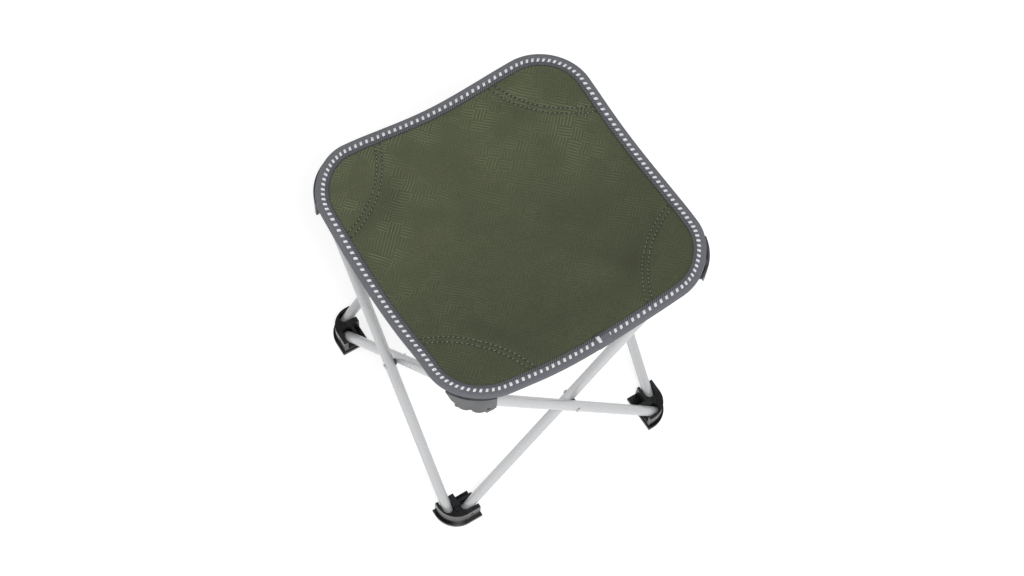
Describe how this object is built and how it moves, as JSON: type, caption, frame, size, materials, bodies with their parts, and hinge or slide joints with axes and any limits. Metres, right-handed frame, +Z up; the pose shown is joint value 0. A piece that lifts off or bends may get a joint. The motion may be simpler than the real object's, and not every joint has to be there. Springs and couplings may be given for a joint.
{
  "type": "folding camp stool",
  "caption": "Folding camp stool: crossing tube legs between corner feet and corner brackets fold together under a square cloth seat.",
  "frame": {"origin": "middle of the stool's footprint, on the ground", "axes": "+Z up; the feet stand towards the four diagonals of X and Y, the front foot at -X -Y"},
  "size_m": [0.384, 0.384, 0.4283],
  "materials": {
    "tube": "light grey powder coat, satin",
    "foot_plastic": "moulded, slightly glossy",
    "bracket_plastic": "moulded, satin",
    "pivot_rivet": "blackened, satin",
    "cross_rivet": "plated, satin",
    "spacer": "moulded, matte",
    "screw": "plated",
    "cloth": "coated woven cloth, matte with an embossed pattern",
    "binding": "woven tape, matte"
  },
  "bodies": {
    "foot_left": {"foot_left": "foot_plastic", "foot_rivets_left": "pivot_rivet"},
    "bracket_left": {"bracket_left": "bracket_plastic", "bracket_rivets_left": "pivot_rivet", "seat_screw_left": "screw"},
    "tube_outer_front_left": {"tube_outer_front_left": "tube", "cross_rivet_front_left": "cross_rivet", "cross_spacer_front_left": "spacer"},
    "tube_inner_front_left": {"tube_inner_front_left": "tube"},
    "foot_front": {"foot_front": "foot_plastic", "foot_rivets_front": "pivot_rivet"},
    "bracket_front": {"bracket_front": "bracket_plastic", "bracket_rivets_front": "pivot_rivet", "seat_screw_front": "screw"},
    "tube_outer_front_right": {"tube_outer_front_right": "tube", "cross_rivet_front_right": "cross_rivet", "cross_spacer_front_right": "spacer"},
    "tube_inner_front_right": {"tube_inner_front_right": "tube"},
    "foot_right": {"foot_right": "foot_plastic", "foot_rivets_right": "pivot_rivet"},
    "bracket_right": {"bracket_right": "bracket_plastic", "bracket_rivets_right": "pivot_rivet", "seat_screw_right": "screw"},
    "tube_outer_back_right": {"tube_outer_back_right": "tube", "cross_rivet_back_right": "cross_rivet", "cross_spacer_back_right": "spacer"},
    "tube_inner_back_right": {"tube_inner_back_right": "tube"},
    "foot_back": {"foot_back": "foot_plastic", "foot_rivets_back": "pivot_rivet"},
    "bracket_back": {"bracket_back": "bracket_plastic", "bracket_rivets_back": "pivot_rivet", "seat_screw_back": "screw"},
    "tube_outer_back_left": {"tube_outer_back_left": "tube", "cross_rivet_back_left": "cross_rivet", "cross_spacer_back_left": "spacer"},
    "tube_inner_back_left": {"tube_inner_back_left": "tube"},
    "cloth_front_left_1": {"seat_cloth_front_left_1": "cloth", "edge_binding_front_left_1": "binding"},
    "cloth_front_left_2": {"seat_cloth_front_left_2": "cloth", "edge_binding_front_left_2": "binding"},
    "cloth_front_right_1": {"seat_cloth_front_right_1": "cloth", "edge_binding_front_right_1": "binding"},
    "cloth_front_right_2": {"seat_cloth_front_right_2": "cloth", "edge_binding_front_right_2": "binding"},
    "cloth_back_right_1": {"seat_cloth_back_right_1": "cloth", "edge_binding_back_right_1": "binding"},
    "cloth_back_right_2": {"seat_cloth_back_right_2": "cloth", "edge_binding_back_right_2": "binding"},
    "cloth_back_left_1": {"seat_cloth_back_left_1": "cloth", "edge_binding_back_left_1": "binding"},
    "cloth_back_left_2": {"seat_cloth_back_left_2": "cloth", "edge_binding_back_left_2": "binding"}
  },
  "joints": [
    {"name": "fold", "type": "hinge", "parent": "foot_front", "child": "tube_inner_front_right", "pos_m": [-0.146, -0.15525, 0.019], "axis": [0, -1, 0], "range_deg": [0, 33]},
    {"name": "foot_front_outer_pivot", "type": "hinge", "parent": "foot_front", "child": "tube_outer_front_left", "pos_m": [-0.17075, -0.146, 0.019], "axis": [1, 0, 0], "range_deg": [0, 33]},
    {"name": "cross_front_right", "type": "hinge", "parent": "tube_inner_front_right", "child": "tube_outer_front_right", "pos_m": [0, -0.163, 0.2082], "axis": [0, 1, 0], "range_deg": [0, 66]},
    {"name": "foot_right_outer_pivot", "type": "hinge", "parent": "tube_outer_front_right", "child": "foot_right", "pos_m": [0.146, -0.17075, 0.019], "axis": [0, -1, 0], "range_deg": [0, 33]},
    {"name": "bracket_right_inner_pivot", "type": "hinge", "parent": "tube_inner_front_right", "child": "bracket_right", "pos_m": [0.146, -0.15525, 0.3974], "axis": [0, 1, 0], "range_deg": [0, 33]},
    {"name": "bracket_front_outer_pivot", "type": "hinge", "parent": "tube_outer_front_right", "child": "bracket_front", "pos_m": [-0.146, -0.17075, 0.3974], "axis": [0, -1, 0], "range_deg": [0, 33]},
    {"name": "cross_front_left", "type": "hinge", "parent": "tube_outer_front_left", "child": "tube_inner_front_left", "pos_m": [-0.163, 0, 0.2082], "axis": [-1, 0, 0], "range_deg": [0, 66]},
    {"name": "foot_left_inner_pivot", "type": "hinge", "parent": "tube_inner_front_left", "child": "foot_left", "pos_m": [-0.15525, 0.146, 0.019], "axis": [1, 0, 0], "range_deg": [0, 33]},
    {"name": "bracket_left_outer_pivot", "type": "hinge", "parent": "tube_outer_front_left", "child": "bracket_left", "pos_m": [-0.17075, 0.146, 0.3974], "axis": [-1, 0, 0], "range_deg": [0, 33]},
    {"name": "foot_right_inner_pivot", "type": "hinge", "parent": "foot_right", "child": "tube_inner_back_right", "pos_m": [0.15525, -0.146, 0.019], "axis": [1, 0, 0], "range_deg": [0, 33]},
    {"name": "cross_back_right", "type": "hinge", "parent": "tube_inner_back_right", "child": "tube_outer_back_right", "pos_m": [0.163, 0, 0.2082], "axis": [-1, 0, 0], "range_deg": [0, 66]},
    {"name": "foot_back_outer_pivot", "type": "hinge", "parent": "tube_outer_back_right", "child": "foot_back", "pos_m": [0.17075, 0.146, 0.019], "axis": [1, 0, 0], "range_deg": [0, 33]},
    {"name": "bracket_back_inner_pivot", "type": "hinge", "parent": "tube_inner_back_right", "child": "bracket_back", "pos_m": [0.15525, 0.146, 0.3974], "axis": [-1, 0, 0], "range_deg": [0, 33]},
    {"name": "foot_left_outer_pivot", "type": "hinge", "parent": "foot_left", "child": "tube_outer_back_left", "pos_m": [-0.146, 0.17075, 0.019], "axis": [0, -1, 0], "range_deg": [0, 33]},
    {"name": "cross_back_left", "type": "hinge", "parent": "tube_outer_back_left", "child": "tube_inner_back_left", "pos_m": [0, 0.163, 0.2082], "axis": [0, 1, 0], "range_deg": [0, 66]},
    {"name": "cloth_front_left_1_fold", "type": "hinge", "parent": "bracket_left", "child": "cloth_front_left_1", "pos_m": [-0.166, 0.166, 0.424], "axis": [-0.6902, -0.5961, -0.4102], "range_deg": [0, 87.61], "deforming": ["seat_cloth_front_left_1", "edge_binding_front_left_1"]},
    {"name": "cloth_front_left_2_fold", "type": "hinge", "parent": "bracket_front", "child": "cloth_front_left_2", "pos_m": [-0.166, -0.166, 0.424], "axis": [0.6902, -0.5961, 0.4102], "range_deg": [0, 87.61], "deforming": ["seat_cloth_front_left_2", "edge_binding_front_left_2"]},
    {"name": "cloth_front_right_1_fold", "type": "hinge", "parent": "bracket_front", "child": "cloth_front_right_1", "pos_m": [-0.166, -0.166, 0.424], "axis": [0.5961, -0.6902, -0.4102], "range_deg": [0, 87.61], "deforming": ["seat_cloth_front_right_1", "edge_binding_front_right_1"]},
    {"name": "cloth_front_right_2_fold", "type": "hinge", "parent": "bracket_right", "child": "cloth_front_right_2", "pos_m": [0.166, -0.166, 0.424], "axis": [0.5961, 0.6902, 0.4102], "range_deg": [0, 87.61], "deforming": ["seat_cloth_front_right_2", "edge_binding_front_right_2"]},
    {"name": "cloth_back_right_1_fold", "type": "hinge", "parent": "bracket_right", "child": "cloth_back_right_1", "pos_m": [0.166, -0.166, 0.424], "axis": [0.6902, 0.5961, -0.4102], "range_deg": [0, 87.61], "deforming": ["seat_cloth_back_right_1", "edge_binding_back_right_1"]},
    {"name": "cloth_back_right_2_fold", "type": "hinge", "parent": "bracket_back", "child": "cloth_back_right_2", "pos_m": [0.166, 0.166, 0.424], "axis": [-0.6902, 0.5961, 0.4102], "range_deg": [0, 87.61], "deforming": ["seat_cloth_back_right_2", "edge_binding_back_right_2"]},
    {"name": "cloth_back_left_1_fold", "type": "hinge", "parent": "bracket_back", "child": "cloth_back_left_1", "pos_m": [0.166, 0.166, 0.424], "axis": [-0.5961, 0.6902, -0.4102], "range_deg": [0, 87.61], "deforming": ["seat_cloth_back_left_1", "edge_binding_back_left_1"]},
    {"name": "cloth_back_left_2_fold", "type": "hinge", "parent": "bracket_left", "child": "cloth_back_left_2", "pos_m": [-0.166, 0.166, 0.424], "axis": [-0.5961, -0.6902, 0.4102], "range_deg": [0, 87.61], "deforming": ["seat_cloth_back_left_2", "edge_binding_back_left_2"]}
  ],
  "couplings": [
    {"joint": "foot_front_outer_pivot", "follows": "fold", "ratio": 1},
    {"joint": "cross_front_right", "follows": "fold", "ratio": 2},
    {"joint": "foot_right_outer_pivot", "follows": "fold", "ratio": 1},
    {"joint": "bracket_right_inner_pivot", "follows": "fold", "ratio": 1},
    {"joint": "bracket_front_outer_pivot", "follows": "fold", "ratio": 1},
    {"joint": "cross_front_left", "follows": "fold", "ratio": 2},
    {"joint": "foot_left_inner_pivot", "follows": "fold", "ratio": 1},
    {"joint": "bracket_left_outer_pivot", "follows": "fold", "ratio": 1},
    {"joint": "foot_right_inner_pivot", "follows": "fold", "ratio": 1},
    {"joint": "cross_back_right", "follows": "fold", "ratio": 2},
    {"joint": "foot_back_outer_pivot", "follows": "fold", "ratio": 1},
    {"joint": "bracket_back_inner_pivot", "follows": "fold", "ratio": 1},
    {"joint": "foot_left_outer_pivot", "follows": "fold", "ratio": 1},
    {"joint": "cross_back_left", "follows": "fold", "ratio": 2},
    {"joint": "cloth_front_left_1_fold", "follows": "fold", "ratio": 2.6548},
    {"joint": "cloth_front_left_2_fold", "follows": "fold", "ratio": 2.6548},
    {"joint": "cloth_front_right_1_fold", "follows": "fold", "ratio": 2.6548},
    {"joint": "cloth_front_right_2_fold", "follows": "fold", "ratio": 2.6548},
    {"joint": "cloth_back_right_1_fold", "follows": "fold", "ratio": 2.6548},
    {"joint": "cloth_back_right_2_fold", "follows": "fold", "ratio": 2.6548},
    {"joint": "cloth_back_left_1_fold", "follows": "fold", "ratio": 2.6548},
    {"joint": "cloth_back_left_2_fold", "follows": "fold", "ratio": 2.6548}
  ]
}
